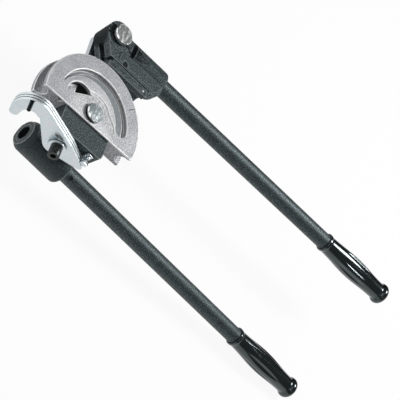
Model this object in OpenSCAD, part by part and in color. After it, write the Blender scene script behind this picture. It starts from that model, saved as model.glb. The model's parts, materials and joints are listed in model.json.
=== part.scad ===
// Lever tube bender: a grooved former on a fixed handle, a hook that holds the tube's end,
// and a moving handle whose shoe wraps the tube round the former.
// The origin is the bend centre on the plane of the tube's centre line. Z is the former's axis,
// +X runs towards the grips and +Y towards the moving handle. It is drawn at the end of a 90 degree bend.

/* [Tube and former] */
// Outside diameter of the tube that is bent
tube_d = 19; // [16:0.5:21]
// Bend radius, to the centre line of the tube
bend_r = 79.5; // [76:0.5:86]
// How far the former's rim stands past the tube's centre line
rim_over = 3.5; // [2.5:0.25:4.5]
// Thickness of the former
former_t = 32; // [30:0.5:36]
// Distance from the bend centre to the former's flat back
back_y = 16.5; // [15:0.5:18]
// How far the former's face overhangs the seat of the arm
ledge_d = 1.6; // [1:0.1:2.2]
// Thickness of that overhang
ledge_t = 3; // [2:0.25:3.5]
// Metal left between the tube groove and the crescent recess
rim_wall = 8.8; // [7:0.2:11]
// Depth of the crescent recess, against its outer wall
recess_depth = 7; // [5:0.5:8]
// Narrowest gap between the recess's two circles
recess_slim = 8.4; // [7.5:0.1:9.5]
// How far the recess's inner circle sits off the bend centre
recess_shift = 12.5; // [11.5:0.1:13.5]
// Radius of the window's round side
window_r = 23; // [20:0.5:24]
// Depth of the window's shallow end
window_depth = 11; // [8:0.5:14]
// Bend angle that the tick on the rim marks
tick_angle = 46; // [30:1:60]

/* [Centre bolt] */
// Diameter of the centre bolt and of the pivot bolt
bolt_d = 14; // [12:0.5:16]
// Diameter of the centre bolt's round head
centre_head_d = 27; // [24:0.5:30]
// Height of the centre bolt's head
centre_head_h = 6; // [5:0.25:8]
// Wall of the bushes on the bolts
bush_wall = 4; // [3:0.25:5]
// Height of the boss under the former
boss_h = 2.4; // [2.3:0.1:4]
// Width across the flats of the centre bolt's nut
nut_af = 22; // [21:0.5:25]
// Height of the centre bolt's nut
nut_h = 11; // [9:0.5:12]
// Thickness of the washer under that nut
washer_t = 2.5; // [2:0.25:3]

/* [Fixed arm] */
// Length of the arm's block along the handles
arm_w = 80; // [76:1:86]
// Depth of the arm's block behind the former
arm_d = 31.5; // [29:0.5:34]
// Gap between the former's overhang and the top of the arm's block
arm_sink = 1; // [0.5:0.25:1.5]
// Thickness of the tongue under the link
tongue_t = 11; // [9:0.5:13]
// Outside diameter of the fixed handle's socket
socket_d = 46; // [42:0.5:48]
// Length of the fixed handle's socket
socket_l = 80; // [74:1:88]
// How far the socket starts behind the bend centre
socket_start = 43.5; // [41:0.5:48]
// Distance of the fixed handle's axis behind the bend centre
fixed_y = 40.6; // [39:0.1:43]
// Drop of the fixed handle's axis below the tube plane, at the bend centre
fixed_drop = 60.7; // [58:0.1:66]
// Slope of the fixed handle, down towards its grip
fixed_slope = 4.45; // [3:0.05:6]

/* [Handles] */
// Outside diameter of both handle tubes
handle_d = 25.4; // [22:0.1:27]
// Wall of both handle tubes
handle_wall = 2.6; // [2:0.1:3.5]
// Distance from the bend centre to the end of the fixed grip, along the handle
fixed_reach = 586; // [500:1:650]
// Distance from the pivot bolt to the end of the moving grip
moving_reach = 629; // [540:1:700]
// Length of the grips
grip_l = 149; // [130:1:170]
// Largest diameter of the grips
grip_d = 34.2; // [33:0.1:37]
// Wall of the grips at their narrow necks
grip_neck = 1.4; // [1.2:0.1:1.8]
// Thickness of the grips' closed ends
grip_end = 5; // [4:0.5:7]
// Flutes round each grip
flute_n = 8; // [6:1:10]
// Depth of the flutes
flute_depth = 2; // [1.4:0.1:2.2]
// Diameter of the pins that lock the handles
pin_d = 7; // [5:0.5:8]

/* [Moving head] */
// Height of the moving handle's axis above the tube plane
moving_rise = 0.8; // [0:0.1:1.2]
// Distance of the pivot bolt outside the tube's centre line
pivot_out = 54; // [50:0.5:58]
// How far the pivot bolt lies behind the end of a 90 degree bend
pivot_lag = 7.6; // [5:0.2:10]
// Thickness of the moving head
head_t = 41.2; // [40:0.1:41.4]
// Depth of the head's body below the tube plane
head_low = 12; // [10.5:0.5:14]
// Radius of the head's round end on its front face
head_r = 22; // [20:0.5:24]
// Radius of the round nose at the head's grip end
nose_r = 27; // [25:0.5:28]
// Thickness of that nose
nose_t = 16; // [12:0.5:18]
// Length of the head from the pivot bolt to the end of its socket
head_l = 99; // [94:1:106]
// Outside diameter of the moving handle's socket
head_socket_d = 40; // [37:0.5:40]
// Height of the raised panel on the head's face
panel_h = 1.2; // [0.8:0.1:2]
// Diameter of the pivot bolt's round head
pivot_head_d = 29; // [26:0.5:32]
// Height of the pivot bolt's head
pivot_head_h = 8; // [6:0.5:10]
// Width across the flats of the pivot bolt's thin nut
pivot_nut_af = 19; // [18:0.5:22]
// Height of that nut
pivot_nut_h = 5; // [4:0.25:6]
// Width of the slot in the head's end wall
slot_w = 9.4; // [8:0.2:11]

/* [Shoe] */
// Length of the shoe
shoe_l = 74; // [68:1:80]
// Thickness of the shoe along the bend axis
shoe_t = 36; // [34:0.5:40]
// Running gap between the shoe and the former's rim
shoe_gap = 0.6; // [0.4:0.1:1]
// Height of the shoe, from its running face to the joint line under the head
shoe_h = 13; // [12:0.25:15]
// Open joint line between shoe and head
joint_gap = 0.9; // [0.6:0.1:1.4]

/* [Link] */
// Thickness of the link
link_t = 8.2; // [7:0.1:9]
// Width of the link
link_w = 29; // [28:0.5:34]

/* [Hook] */
// Thickness of each of the hook's three plates
plate_t = 4; // [3.5:0.1:4.5]
// Inner radius of the hook's mouth
mouth_r = 11.7; // [11:0.1:12.5]
// Diameter of the pivot screw's shank
hook_screw_d = 10; // [8:0.5:12]
// Diameter of the pivot screw's socket head
hook_head_d = 16.5; // [15:0.5:18]
// Height of the pivot screw's head
hook_head_h = 14; // [12:0.5:16]
// Diameter of the washer under the screw's head
hook_washer_d = 26; // [23:0.5:28]
// Thickness of that washer
hook_washer_t = 2.8; // [2:0.2:3.4]
// Thickness of the spacer between hook and arm
spacer_t = 1.5; // [1:0.1:2]
// Diameter of the finger pin
finger_d = 5.5; // [4.5:0.25:7]
// Length of the finger pin in front of the hook
finger_l = 15; // [12:0.5:20]

/* [Hidden] */
$fn = 72;

// Clearances
run = 0.05;
seat = 0.02;
side = 0.2;
eps = 0.5;

// Colours
aluminium = [0.72, 0.71, 0.70];
hammer = [0.27, 0.30, 0.30];
zinc = [0.82, 0.85, 0.86];
black = [0.06, 0.06, 0.07];
dark_steel = [0.25, 0.25, 0.25];

// Former
rim_r = bend_r + rim_over;
groove_clear = 0.1;
groove_r = tube_d / 2 + groove_clear;
front_z = former_t / 2;
seat_y = back_y - ledge_d;
recess_r = bend_r - groove_r - rim_wall;
recess_inner_r = recess_r - recess_slim;
recess_dir = 221;
recess_end_y = 11;
recess_end_slim = 0.6;
recess_step = 5.6;
recess_step_r = recess_r - recess_step;
recess_floor = recess_depth / 2;
window_pos = [-27, 5];
window_cut = 7.3;
window_tilt = 31;
window_through = 4.6;
pad_r = 30;
pad_tilt = [-4, 1.5, 0];
pad_x = bolt_d - 2;
pad_turn = 66;
pad_side = [pad_r + 9, 5];
pad_foot = pad_r + 13;
tick_l = rim_r - recess_r - rim_wall;
tick_w = 0.9;
tick_deep = 0.5;
pocket_w = 11;
pocket_h = 7.7;
lip_y = 3;
lip_l = 30;
pocket_deep = 6;

// Stack along the former's axis
boss_z = -front_z - boss_h;
link_z = boss_z - side - link_t;
link_top = link_z + link_t;
tongue_z = link_z - side;
tongue_base = tongue_z - tongue_t;
bush_d = bolt_d + 2 * bush_wall;
boss_r = bush_d / 2 + 8;
nut_z = tongue_base - washer_t;
washer_d = nut_af + 3;
bolt_end = 2;

// Fixed arm
arm_back = back_y + arm_d;
arm_top = front_z - ledge_t - arm_sink;
link_clear = 0.5;
arm_low = link_top + link_clear;
arm_h = arm_top - arm_low;
web_w = arm_w - 8;
web_y = bush_d / 2 + 16;
edge_r = 6;
socket_round = 10;
socket_lip = 4;
bore_r = handle_d / 2 + seat;
pin_clear = 11;
pin_turn = 42;
pin_sink = 0.6;
fixed_pin_at = socket_l - socket_start + pin_clear;
dowel_d = 8;
dowel_l = 24;
dowel_x = arm_w / 2 - 12;
dowel_z = arm_top - 9;
tongue_r = boss_r + 3;

// Grip profile, as distances from its front end
collar_l = 5;
collar_over = 1;
neck_r = handle_d / 2 + grip_neck;
collar_r = neck_r + collar_over;
bulb_r = grip_d / 2;
bulb_l = 15;
swell_n = 20;
flute_r = 6;
flute_in = 8;
fixed_flute_turn = 12;
moving_flute_turn = 30;

// Moving head, measured from the pivot bolt
pivot_x = -pivot_lag;
pivot_y = bend_r + pivot_out;
head_z = head_t / 2;
deck_z = head_z - panel_h;
cone_z = 15;
cone_r = head_r - 4;
moving_y = pivot_y + 0.5;
shoe_y = rim_r + shoe_gap;
joint_y = shoe_y + shoe_h;
shoe_top = joint_y - joint_gap;
shoe_x = -7;
shoe_end = shoe_x + shoe_l;
head_end = pivot_x + head_l;
socket_x = pivot_x + head_r + 4;
socket_in = socket_x - 8;
head_bore_x = pivot_x + head_r + 2;
deck_y = pivot_y - head_socket_d / 2 + 5;
wall_top = [pivot_x - head_r + 3, pivot_y - 9];
wall_foot = [shoe_x - 3, joint_y];
body_end = shoe_end - 3;
nose_edge = 2.4;
nose_root = 3;
nose_pos = [head_end - nose_r - 2.5, joint_y + 19.5];
panel_x = 4;
panel_in = 2.2;
slot_z = 2.4;
slot_l = 20;
slot_in = 10;
hollow_w = 7;
hollow_z = moving_rise + handle_d / 2 + 1.5;
moving_pin_x = head_end - 18;
key_w = 16;
key_h = 9;
toe_cut = 4;
shoe_pin_d = 6;
shoe_pin_x = shoe_x + 23;
shoe_pin_y = joint_y + key_h / 2;
sink_d = shoe_pin_d + 3;
sink_deep = 2;
shoe_screw_d = 6;
shoe_screw_shank = 4;
shoe_screw_l = 5;
shoe_screw_head = 1.6;
shoe_screw_x = shoe_end - shoe_screw_d - 3;
shoe_screw_y = (shoe_y + shoe_top) / 2 - 1;

// Hook, in the plane of the bend axis and the handles
hook_back = arm_back + spacer_t;
hook_front = hook_back + 3 * plate_t;
mouth = [-bend_r + 1.5, 0.8];
crown = [-bend_r - 0.5, 8];
crown_r = mouth_r + 15.3;
finger_turn = 201.2;
finger_root_r = 10.5;
finger_root = crown + (crown_r - finger_root_r) * [cos(finger_turn), sin(finger_turn)];
finger_tip = crown + [-13.5, -20.2];
finger_tip_r = 6.7;
hook_pivot = [-18, -8];
hook_pivot_r = 20.3;
hook_lean = 43.1;
lean_n = [sin(hook_lean), cos(hook_lean)];
arm_foot = hook_pivot - hook_pivot_r * lean_n;
throat_l = 49.5;
arc_step = 6;
mouth_end = 60;
throat = arm_foot + throat_l * [-cos(hook_lean), sin(hook_lean)];
tail = hook_pivot + [44, -4.5];
tail_r = 5;
hook_bush_d = hook_screw_d + 5;
finger_wall = 1.2;
finger_at = 132;
finger = crown + (crown_r - finger_wall - finger_d / 2) * [cos(finger_at), sin(finger_at)];
finger_edge = 1;
screw_in = 18;
key_af = 8;
key_deep = 7;

// Clip that the hook's tail rests under
clip_t = 2.2;
clip_w = 10;
clip_h = 12;
rest_gap = 0.3;
stop_x = 25;
tail_top = edge_turn(tail, tail_r, hook_pivot, hook_pivot_r);
tail_n = [cos(tail_top), sin(tail_top)];
stop_edge = stop_x - clip_w / 2;
stop_z = (hook_pivot_r + hook_pivot * tail_n - stop_edge * tail_n[0]) / tail_n[1] + rest_gap + clip_h / 2;
stop_screw_d = 4;
stop_screw_in = 8;
stop_head_d = 7;
stop_head_h = 3;

// Direction from the centres to the touching points of the line along the right-hand sides
// of two circles, from a to b
function edge_turn(a, ra, b, rb) = atan2(b[1] - a[1], b[0] - a[0]) - acos((ra - rb) / norm(b - a));

// The same direction as an angle that isn't less than the angle from
function turn_after(from, angle) = from + (((angle - from) % 360) + 360) % 360;

// Points of an arc round the centre c, either way
function arc(c, r, from, to) =
    let (n = ceil(abs(to - from) / arc_step))
    [for (i = [0:n]) c + r * [cos(from + (to - from) * i / n), sin(from + (to - from) * i / n)]];

// A rectangle from low to high with round corners made of true arcs
module round_rect(low, high, r) {
    translate([low[0] + r, low[1]]) square([high[0] - low[0] - 2 * r, high[1] - low[1]]);
    translate([low[0], low[1] + r]) square([high[0] - low[0], high[1] - low[1] - 2 * r]);
    for (x = [low[0] + r, high[0] - r], y = [low[1] + r, high[1] - r])
        translate([x, y]) circle(r);
}

// Axis of the fixed handle: local z runs to the grip, from abreast of the bend centre
module on_fixed_handle() {
    translate([0, -fixed_y, -fixed_drop]) rotate([0, 90 + fixed_slope, 0]) children();
}

// Axis of the moving handle: local z runs to the grip, from the pivot bolt
module on_moving_handle() {
    translate([pivot_x, moving_y, moving_rise]) rotate([0, 90, 0]) children();
}

// Turns a profile drawn in x and z so that it runs back along -y from the depth y
module along_y(y) {
    translate([0, -y, 0]) rotate([90, 0, 0]) children();
}

module ring(r_out, r_in, h) {
    difference() {
        cylinder(r = r_out, h = h);
        translate([0, 0, -eps]) cylinder(r = r_in, h = h + 2 * eps);
    }
}

// Crescent between two off-centre circles, with a round end on the grip side
module crescent() {
    shift = recess_shift * [cos(recess_dir), sin(recess_dir)];
    inner_x = sqrt(pow(recess_inner_r, 2) - pow(recess_end_y - shift[1], 2)) + shift[0];
    end_r = (recess_r - inner_x) / 2 - recess_end_slim;
    difference() {
        circle(recess_r);
        translate(shift) circle(recess_inner_r);
        translate([-rim_r, recess_end_y - 2 * rim_r]) square(2 * rim_r);
    }
    translate([inner_x + end_r, recess_end_y]) circle(end_r);
}

// Round segment behind a slanted straight edge
module window_shape() {
    translate(window_pos) intersection() {
        circle(window_r);
        rotate(window_tilt) translate([-window_r, window_cut]) square(2 * window_r);
    }
}

// Plan of the sloping pad round the centre bolt
module pad_shape() {
    circle(pad_r);
    polygon([[0, 0], pad_r * [cos(pad_turn), sin(pad_turn)], pad_side,
        [pad_foot, -back_y - eps], [0, -back_y - eps]]);
}

// Everything behind the plane y, below the height z
module behind(y, z) {
    translate([-2 * rim_r, -y - 2 * rim_r, z - 4 * former_t]) cube([4 * rim_r, 2 * rim_r, 4 * former_t]);
}

module former() {
    color(aluminium) difference() {
        union() {
            cylinder(r = rim_r, h = former_t, center = true);
            translate([0, 0, boss_z]) cylinder(r = boss_r, h = boss_h + eps);
        }
        rotate_extrude() translate([bend_r, 0]) circle(groove_r);
        rotate_extrude() translate([bend_r, -groove_r]) square([rim_over + eps, 2 * groove_r]);
        behind(back_y, front_z + eps);
        behind(seat_y, front_z - ledge_t);
        translate([0, 0, front_z - recess_floor]) linear_extrude(recess_depth) crescent();
        translate([0, 0, front_z - recess_depth]) linear_extrude(recess_depth + eps) difference() {
            crescent();
            circle(recess_step_r);
        }
        translate([0, 0, front_z - window_depth]) linear_extrude(window_depth + eps) window_shape();
        translate([0, 0, -former_t]) linear_extrude(2 * former_t) intersection() {
            window_shape();
            translate([window_pos[0] - window_through, -rim_r]) square(2 * rim_r);
        }
        translate([pad_x, 0, front_z]) rotate(pad_tilt) translate([-pad_x, 0, 0])
            linear_extrude(recess_depth) pad_shape();
        rotate(90 - tick_angle) translate([rim_r - tick_l, -tick_w / 2, front_z - tick_deep])
            cube([tick_l + eps, tick_w, eps + tick_deep]);
        translate([0, 0, boss_z - eps]) cylinder(d = bolt_d + 2 * run, h = former_t + 2 * boss_h);
        translate([-arm_w / 2 - pocket_w, 0, front_z - ledge_t]) along_y(seat_y - pocket_deep)
            linear_extrude(2 * pocket_deep) polygon([[-pocket_w / 2, 0], [pocket_w / 2, 0], [0, -pocket_h]]);
        translate([-rim_r + lip_y, -back_y + lip_y, front_z - tick_deep])
            cube([lip_l, tick_w, tick_deep + eps]);
        dowel_holes();
    }
}

module dowel_holes() {
    for (x = [-dowel_x, dowel_x])
        translate([x, 0, dowel_z]) along_y(seat_y - dowel_l / 2)
            cylinder(d = dowel_d + 2 * seat, h = dowel_l);
}

// Solid of revolution of the fixed handle's socket, with a large round on its open end
module socket_body() {
    r = socket_d / 2;
    rotate_extrude() {
        square([r - socket_round, socket_l]);
        translate([0, socket_round]) square([r, socket_l - socket_round - socket_lip]);
        square([r - socket_lip, socket_l]);
        translate([r - socket_round, socket_round]) circle(socket_round);
        translate([r - socket_lip, socket_l - socket_lip]) circle(socket_lip);
    }
}

module fixed_arm() {
    color(hammer) difference() {
        union() {
            translate([0, 0, arm_low]) linear_extrude(arm_h) {
                round_rect([-arm_w / 2, -arm_back], [arm_w / 2, -seat_y], edge_r);
                translate([-arm_w / 2, -seat_y - edge_r]) square([arm_w, edge_r]);
            }
            translate([0, 0, -fixed_drop]) linear_extrude(arm_low + fixed_drop + eps)
                round_rect([-web_w / 2, -arm_back], [web_w / 2 - socket_round, -web_y], edge_r);
            translate([0, 0, tongue_base]) linear_extrude(tongue_t) {
                circle(tongue_r);
                translate([-tongue_r, -arm_back + edge_r]) square([2 * tongue_r, arm_back - edge_r]);
            }
            on_fixed_handle() translate([0, 0, -socket_start]) socket_body();
        }
        on_fixed_handle() translate([0, 0, -socket_start - eps])
            cylinder(r = bore_r, h = socket_l + 2 * eps);
        translate([0, 0, tongue_base - eps]) cylinder(d = bolt_d + 2 * run, h = tongue_t + 2 * eps);
        dowel_holes();
        translate([hook_pivot[0], 0, hook_pivot[1]]) along_y(arm_back - screw_in)
            cylinder(d = hook_screw_d, h = screw_in + eps);
        translate([stop_x, 0, stop_z + clip_t / 2]) along_y(arm_back - stop_screw_in)
            cylinder(d = stop_screw_d, h = stop_screw_in + eps);
    }
}

module handle_tube(from, to) {
    difference() {
        translate([0, 0, from]) ring(handle_d / 2, handle_d / 2 - handle_wall, to - from);
        children();
    }
}

// Grip of revolution with a collar, a swelling between two necks and a bulb, then fluted.
// Its body is turned by half a flute, so that the seam of the revolution lies between two flutes
module grip_body(turn) {
    swell_l = grip_l - bulb_l - collar_l;
    rise = grip_d / 2 - neck_r;
    swell = [for (i = [0:swell_n])
        [neck_r + rise * pow(sin(180 * i / swell_n), 2), collar_l + swell_l * i / swell_n]];
    rotate(turn) difference() {
        rotate(180 / flute_n) rotate_extrude() {
            square([collar_r, collar_l]);
            polygon(concat([[0, collar_l]], swell, [[0, collar_l + swell_l]]));
            translate([bulb_r - bulb_l / 2, grip_l - bulb_l / 2]) circle(bulb_l / 2);
            translate([0, grip_l - bulb_l]) square([bulb_r - bulb_l / 2, bulb_l]);
            translate([0, grip_l - bulb_l]) square([neck_r, bulb_l / 2]);
        }
        translate([0, 0, -eps]) cylinder(r = bore_r, h = grip_l - grip_end + eps);
        for (i = [0:flute_n - 1]) rotate(360 / flute_n * i)
            translate([grip_d / 2 - flute_depth + flute_r, 0, collar_l + flute_in])
                cylinder(r = flute_r, h = swell_l - 2 * flute_in);
    }
}

// Short locking pin in one wall of a handle tube, or its hole
module wall_pin(at, r, inner, outer) {
    translate([0, 0, at]) rotate([0, 0, pin_turn]) rotate([0, -90, 0]) translate([0, 0, inner])
        cylinder(r = r, h = outer - inner);
}

module fixed_handle_tube() {
    color(hammer) on_fixed_handle() handle_tube(-socket_start, fixed_reach - grip_end)
        wall_pin(fixed_pin_at, pin_d / 2 + seat, handle_d / 4, handle_d);
}

module fixed_grip() {
    color(black) on_fixed_handle() translate([0, 0, fixed_reach - grip_l]) grip_body(fixed_flute_turn);
}

module fixed_handle_pin() {
    color(dark_steel) on_fixed_handle()
        wall_pin(fixed_pin_at, pin_d / 2, handle_d / 2 - handle_wall + pin_sink, handle_d / 2 - pin_sink);
}

module former_dowels() {
    color(dark_steel) for (x = [-dowel_x, dowel_x])
        translate([x, 0, dowel_z]) along_y(seat_y - dowel_l / 2) cylinder(d = dowel_d, h = dowel_l);
}

// Bolt with a plain round head, chamfered, whose shank starts under the head at z = 0
module round_bolt(head_d, head_h, shank_l, edge = 1) {
    cylinder(d = head_d, h = head_h - edge);
    translate([0, 0, head_h - edge]) cylinder(d1 = head_d, d2 = head_d - 2 * edge, h = edge);
    translate([0, 0, -shank_l]) cylinder(d = bolt_d, h = shank_l + eps);
}

module hex_nut(af, h) {
    difference() {
        cylinder(d = af / cos(30), h = h, $fn = 6);
        translate([0, 0, -eps]) cylinder(d = bolt_d + 2 * seat, h = h + 2 * eps);
    }
}

module centre_bolt() {
    color(zinc) translate([0, 0, front_z])
        round_bolt(centre_head_d, centre_head_h, front_z - nut_z + nut_h + bolt_end);
}

module centre_bush() {
    color(zinc) translate([0, 0, tongue_z]) ring(bush_d / 2, bolt_d / 2 + run, boss_z - tongue_z);
}

module centre_washer() {
    color(zinc) translate([0, 0, nut_z]) ring(washer_d / 2, bolt_d / 2 + run, washer_t);
}

module centre_nut() {
    color(zinc) translate([0, 0, nut_z - nut_h]) hex_nut(nut_af, nut_h);
}

module hook_screw() {
    head_y = hook_front + side + hook_washer_t;
    color(dark_steel) translate([hook_pivot[0], 0, hook_pivot[1]]) difference() {
        union() {
            along_y(arm_back - screw_in)
                cylinder(d = hook_screw_d - 2 * seat, h = head_y - arm_back + screw_in);
            along_y(head_y) cylinder(d = hook_head_d, h = hook_head_h);
        }
        along_y(head_y + hook_head_h - key_deep) cylinder(d = key_af / cos(30), h = key_deep + eps, $fn = 6);
    }
}

module hook_washer() {
    color(zinc) translate([hook_pivot[0], 0, hook_pivot[1]]) along_y(hook_front + side)
        ring(hook_washer_d / 2, hook_screw_d / 2 + run, hook_washer_t);
}

module hook_spacer() {
    color(zinc) translate([hook_pivot[0], 0, hook_pivot[1]]) along_y(arm_back)
        ring(hook_washer_d / 2, hook_screw_d / 2 + run, spacer_t - side);
}

// Bent clip on the arm that the hook's tail rests under
module hook_stop() {
    low_z = stop_z - clip_h / 2;
    color(zinc) difference() {
        translate([stop_x - clip_w / 2, 0, low_z]) {
            translate([0, -arm_back - clip_t, 0]) cube([clip_w, clip_t, clip_h]);
            translate([0, -hook_front, 0]) cube([clip_w, hook_front - arm_back, clip_t]);
            translate([0, -hook_front, 0]) cube([clip_w, clip_t, clip_h / 2]);
        }
        translate([stop_x, 0, stop_z + clip_t / 2]) along_y(arm_back - eps)
            cylinder(d = stop_screw_d + 2 * run, h = clip_t + 2 * eps);
    }
}

module hook_stop_screw() {
    color(zinc) translate([stop_x, 0, stop_z + clip_t / 2]) {
        along_y(arm_back - stop_screw_in) cylinder(d = stop_screw_d - 2 * seat, h = stop_screw_in + clip_t);
        along_y(arm_back + clip_t) cylinder(d = stop_head_d, h = stop_head_h);
    }
}

// Outline of the hook, with x along the handles and y up the bend axis, walked round the crown, the finger,
// the mouth, the straight arm, the pivot and the tail
function hook_outline() =
    let (crown_from = edge_turn(hook_pivot, hook_pivot_r, crown, crown_r),
        root_to = turn_after(finger_turn, edge_turn(finger_root, finger_root_r, finger_tip, finger_tip_r)),
        foot_from = 180 + atan2(lean_n[1], lean_n[0]),
        tail_from = turn_after(foot_from, edge_turn(hook_pivot, hook_pivot_r, tail, tail_r)),
        tail_to = turn_after(tail_from, tail_top))
    concat(
        arc(crown, crown_r, crown_from, turn_after(crown_from, finger_turn)),
        arc(finger_root, finger_root_r, finger_turn + arc_step, root_to),
        arc(finger_tip, finger_tip_r, root_to, 360),
        arc(mouth, mouth_r, 180, mouth_end),
        [throat],
        arc(hook_pivot, hook_pivot_r, foot_from, tail_from),
        arc(tail, tail_r, tail_from, tail_to),
        arc(hook_pivot, hook_pivot_r, tail_to, turn_after(tail_to, crown_from)));

module hook_plate(i) {
    along_y(hook_back + i * plate_t) difference() {
        linear_extrude(plate_t) polygon(hook_outline());
        translate([0, 0, -eps]) {
            translate(hook_pivot) cylinder(d = hook_bush_d + 2 * seat, h = plate_t + 2 * eps);
            translate(finger) cylinder(d = finger_d + 2 * seat, h = plate_t + 2 * eps);
        }
    }
}

module hook_back_plate() { color(zinc) hook_plate(0); }
module hook_middle_plate() { color(zinc) hook_plate(1); }
module hook_front_plate() { color(zinc) hook_plate(2); }

module hook_bush() {
    color(zinc) translate([hook_pivot[0], 0, hook_pivot[1]]) along_y(hook_back)
        ring(hook_bush_d / 2, hook_screw_d / 2 + run, 3 * plate_t);
}

module hook_finger_pin() {
    color(black) translate([finger[0], 0, finger[1]]) {
        along_y(hook_back) cylinder(d = finger_d, h = 3 * plate_t + finger_l - finger_edge);
        along_y(hook_front + finger_l - finger_edge)
            cylinder(d1 = finger_d, d2 = finger_d - 2 * finger_edge, h = finger_edge);
    }
}

module link_plate() {
    lean = atan2(pivot_lag, pivot_y);
    reach = norm([pivot_lag, pivot_y]);
    color(zinc) translate([0, 0, link_z]) difference() {
        linear_extrude(link_t) {
            circle(d = link_w);
            rotate(lean) translate([-link_w / 2, 0]) square([link_w, reach]);
            translate([pivot_x, pivot_y]) circle(d = link_w);
        }
        translate([0, 0, -eps]) cylinder(r = bush_d / 2 + run, h = link_t + 2 * eps);
        translate([pivot_x, pivot_y, -eps]) cylinder(d = bolt_d + 2 * seat, h = link_t + 2 * eps);
    }
}

module pivot_bolt() {
    color(zinc) translate([pivot_x, pivot_y, head_z + side])
        round_bolt(pivot_head_d, pivot_head_h, head_z + side - link_z + pivot_nut_h + bolt_end);
}

module pivot_nut() {
    color(zinc) translate([pivot_x, pivot_y, link_z - pivot_nut_h]) hex_nut(pivot_nut_af, pivot_nut_h);
}

// Plan of the head's body between its slanted end wall, the joint line and the socket
module body_shape() {
    polygon([wall_top, wall_foot, [body_end, joint_y], [body_end, deck_y], [socket_x, deck_y],
        [socket_x, pivot_y], [pivot_x, pivot_y]]);
}

// Round nose at the grip end, with its upper edge chamfered, clear of the shoe
module nose() {
    difference() {
        intersection() {
            translate([nose_pos[0], nose_pos[1], deck_z - nose_t]) {
                cylinder(r = nose_r, h = nose_t - nose_edge);
                translate([0, 0, nose_t - nose_edge])
                    cylinder(r1 = nose_r, r2 = nose_r - nose_edge, h = nose_edge);
            }
            translate([nose_pos[0], nose_pos[1] - nose_r, -head_t])
                cube([nose_r, nose_r + nose_root, 2 * head_t]);
        }
        translate([0, 0, -head_t]) cube([shoe_end + joint_gap, joint_y, 2 * head_t]);
    }
}

// Raised panel on the head's face, which follows the nose
module panel_shape() {
    intersection() {
        round_rect([panel_x, joint_y + panel_in], [head_end - panel_in, deck_y - panel_in], panel_in);
        union() {
            translate(nose_pos) circle(nose_r - nose_edge - panel_in);
            square([nose_pos[0], pivot_y]);
        }
    }
}

module head_socket() {
    r = head_socket_d / 2;
    l = head_end - socket_in;
    translate([socket_in, moving_y, moving_rise]) rotate([0, 90, 0]) rotate_extrude() {
        square([r, l - socket_lip]);
        square([r - socket_lip, l]);
        translate([r - socket_lip, l - socket_lip]) circle(socket_lip);
    }
}

module moving_head() {
    color(hammer) difference() {
        union() {
            translate([pivot_x, pivot_y, -cone_z]) cylinder(r1 = cone_r, r2 = head_r, h = cone_z + head_z);
            translate([0, 0, -head_low]) linear_extrude(head_low + deck_z) body_shape();
            translate([0, 0, deck_z - eps]) linear_extrude(panel_h + eps) panel_shape();
            nose();
            difference() {
                head_socket();
                translate([socket_x, moving_y - head_socket_d, hollow_z])
                    cube([hollow_w, 2 * head_socket_d, head_t]);
            }
        }
        translate([head_bore_x, moving_y, moving_rise]) rotate([0, 90, 0]) cylinder(r = bore_r, h = head_l);
        translate([pivot_x, pivot_y, -head_t]) cylinder(r = bush_d / 2 + seat, h = 2 * head_t);
        translate([wall_top[0] - head_r, joint_y - eps, slot_z - slot_w / 2])
            cube([wall_foot[0] - wall_top[0] + head_r + slot_in, slot_l, slot_w]);
        translate([shoe_x - eps, joint_y - eps, -key_w / 2 - side])
            cube([shoe_l + 2 * eps, key_h + eps + side, key_w + 2 * side]);
        translate([shoe_pin_x, shoe_pin_y, -head_t]) cylinder(d = shoe_pin_d + 2 * seat, h = 2 * head_t);
        translate([shoe_pin_x, shoe_pin_y, head_z - sink_deep]) cylinder(d = sink_d, h = head_t);
        translate([moving_pin_x, moving_y, -head_socket_d])
            cylinder(d = pin_d + 2 * seat, h = head_socket_d);
    }
}

module pivot_bush() {
    color(zinc) translate([pivot_x, pivot_y, link_top + side])
        ring(bush_d / 2, bolt_d / 2 + run, head_z - link_top - side);
}

module moving_handle_tube() {
    color(hammer) on_moving_handle() handle_tube(head_bore_x - pivot_x, moving_reach - grip_end)
        translate([handle_d / 2, 0, moving_pin_x - pivot_x]) rotate([0, 90, 0])
            cylinder(d = pin_d + 2 * seat, h = handle_d, center = true);
}

module moving_grip() {
    color(black) on_moving_handle() translate([0, 0, moving_reach - grip_l]) grip_body(moving_flute_turn);
}

module moving_handle_pin() {
    low_z = moving_rise - head_socket_d / 2 + pin_sink;
    high_z = moving_rise - handle_d / 2 + handle_wall - pin_sink;
    color(dark_steel) translate([moving_pin_x, moving_y, low_z]) cylinder(d = pin_d, h = high_z - low_z);
}

module shoe() {
    color(hammer) difference() {
        union() {
            translate([shoe_x, shoe_y, -shoe_t / 2]) cube([shoe_l, shoe_top - shoe_y, shoe_t]);
            translate([shoe_x, shoe_y, -key_w / 2]) cube([shoe_l, joint_y + key_h - shoe_y, key_w]);
        }
        translate([shoe_x - eps, bend_r, 0]) rotate([0, 90, 0]) cylinder(r = groove_r, h = shoe_l + 2 * eps);
        translate([shoe_x - eps, shoe_top - toe_cut, -shoe_t])
            cube([toe_cut + eps, key_h + 2 * toe_cut, 2 * shoe_t]);
        translate([shoe_pin_x, shoe_pin_y, -head_t]) cylinder(d = shoe_pin_d + 2 * seat, h = 2 * head_t);
        shoe_screw_place() translate([0, 0, -shoe_screw_l])
            cylinder(d = shoe_screw_shank, h = shoe_screw_l + eps);
    }
}

module shoe_screw_place() {
    translate([shoe_screw_x, shoe_screw_y, shoe_t / 2]) children();
}

module shoe_pin() {
    color(dark_steel) translate([shoe_pin_x, shoe_pin_y, -head_low + pin_sink])
        cylinder(d = shoe_pin_d, h = head_low + head_z - sink_deep - pin_sink);
}

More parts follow.
